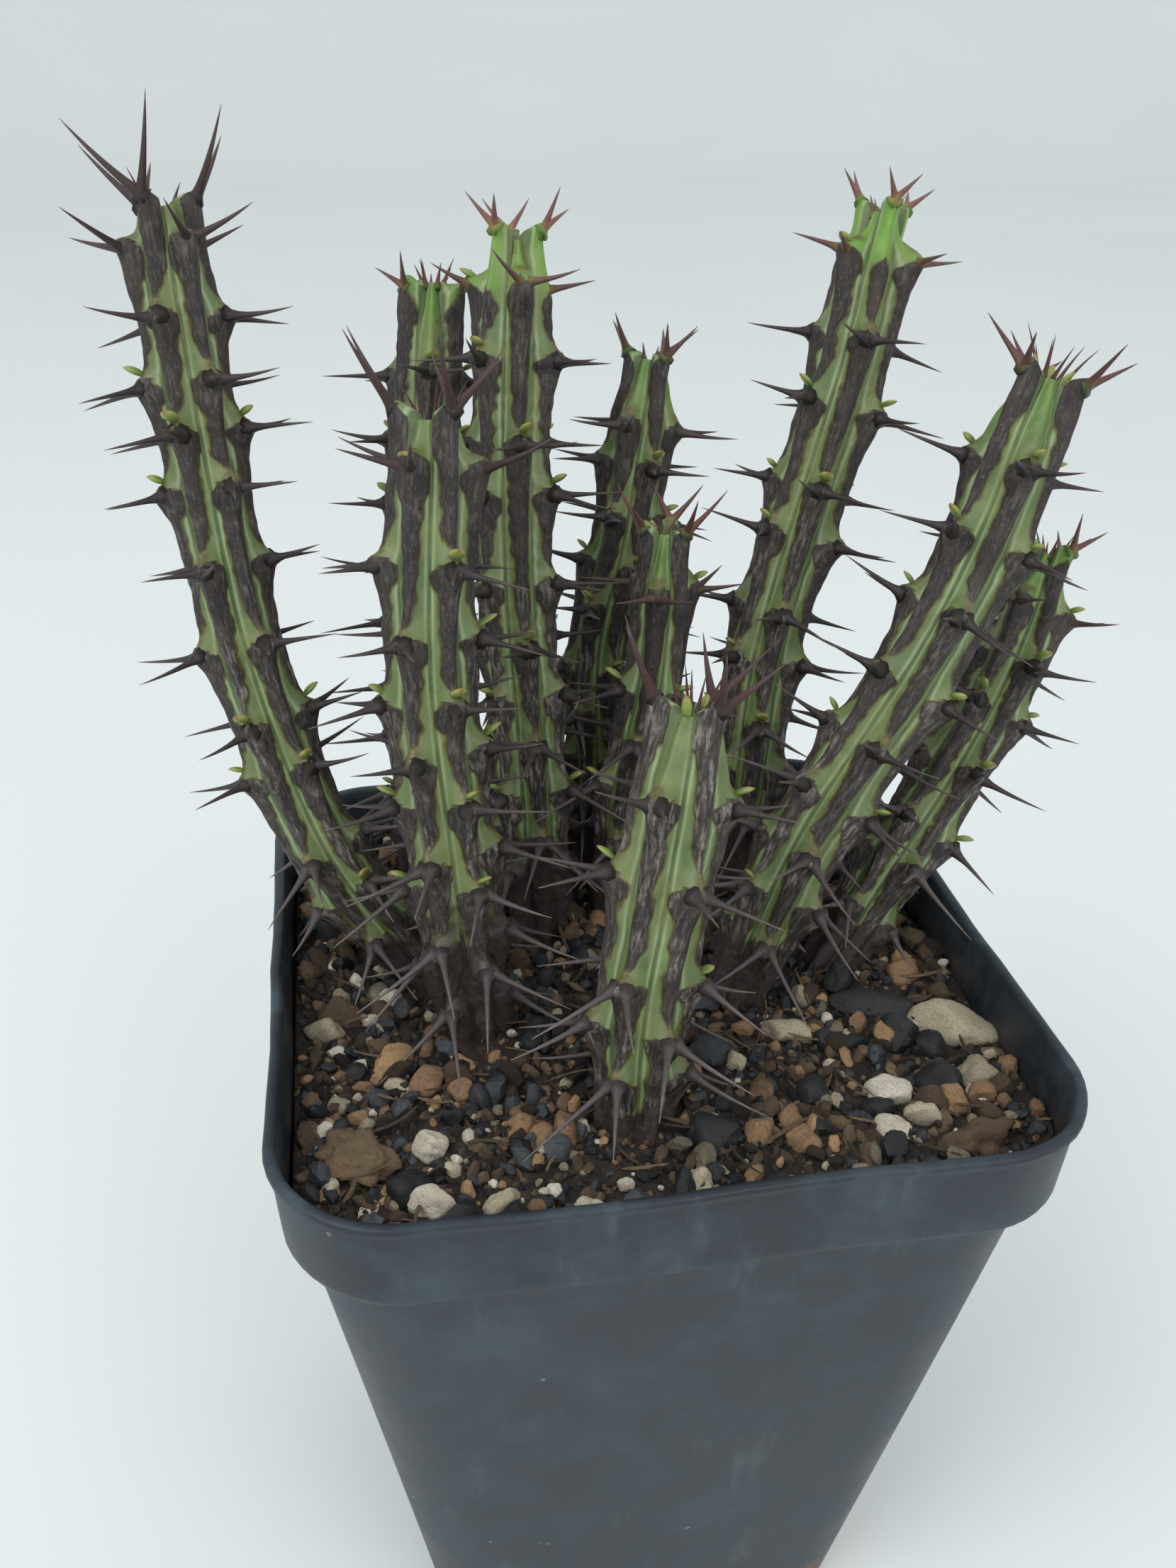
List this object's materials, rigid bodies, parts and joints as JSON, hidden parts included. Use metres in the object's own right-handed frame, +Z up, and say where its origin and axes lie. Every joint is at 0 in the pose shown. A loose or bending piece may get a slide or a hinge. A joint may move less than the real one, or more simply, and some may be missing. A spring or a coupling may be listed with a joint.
{
  "type": "potted euphorbia",
  "caption": "Clump of upright, six-ribbed succulent stems with paired spines, rooted in gritty soil in a thin, tapered square plastic nursery pot with a plain collar.",
  "frame": {"origin": "centre of the pot's flat underside, in the plane the pot stands on", "axes": "+X to the plant's right, seen from its front; -Y out of the pot's front face; +Z up"},
  "size_m": [0.1328, 0.103, 0.1908],
  "materials": {
    "pot_plastic": "satin, dusty blue-grey black",
    "soil_mix": "loose and gritty",
    "stem_skin": "matte, waxy skin with dark spine shields",
    "pale_stone": "porous",
    "brown_stone": "rough, baked clay",
    "dark_stone": "matte slate"
  },
  "bodies": {
    "root": {"pot": "pot_plastic", "soil": "soil_mix", "stem_far_left": "stem_skin", "stem_back_left": "stem_skin", "stem_left_tall": "stem_skin", "stem_front_left": "stem_skin", "stem_back_middle": "stem_skin", "stem_middle": "stem_skin", "stem_front": "stem_skin", "stem_back_right": "stem_skin", "stem_right": "stem_skin", "stem_far_right": "stem_skin", "pebble_cream_right": "pale_stone", "pebble_cream_corner": "pale_stone", "pebble_white_right": "pale_stone", "pebble_cream_middle": "pale_stone", "pebble_white_low": "pale_stone", "pebble_tan_front": "brown_stone", "pebble_orange_left": "brown_stone", "pebble_orange_front": "brown_stone", "pebble_white_front": "pale_stone", "pebble_cream_front": "pale_stone", "pebble_white_left": "pale_stone", "pebble_cream_far_left": "pale_stone", "pebble_red_clump": "brown_stone", "pebble_moss_clump": "brown_stone", "pebble_dark_slab": "dark_stone", "pebble_tan_back": "brown_stone"}
  },
  "joints": []
}
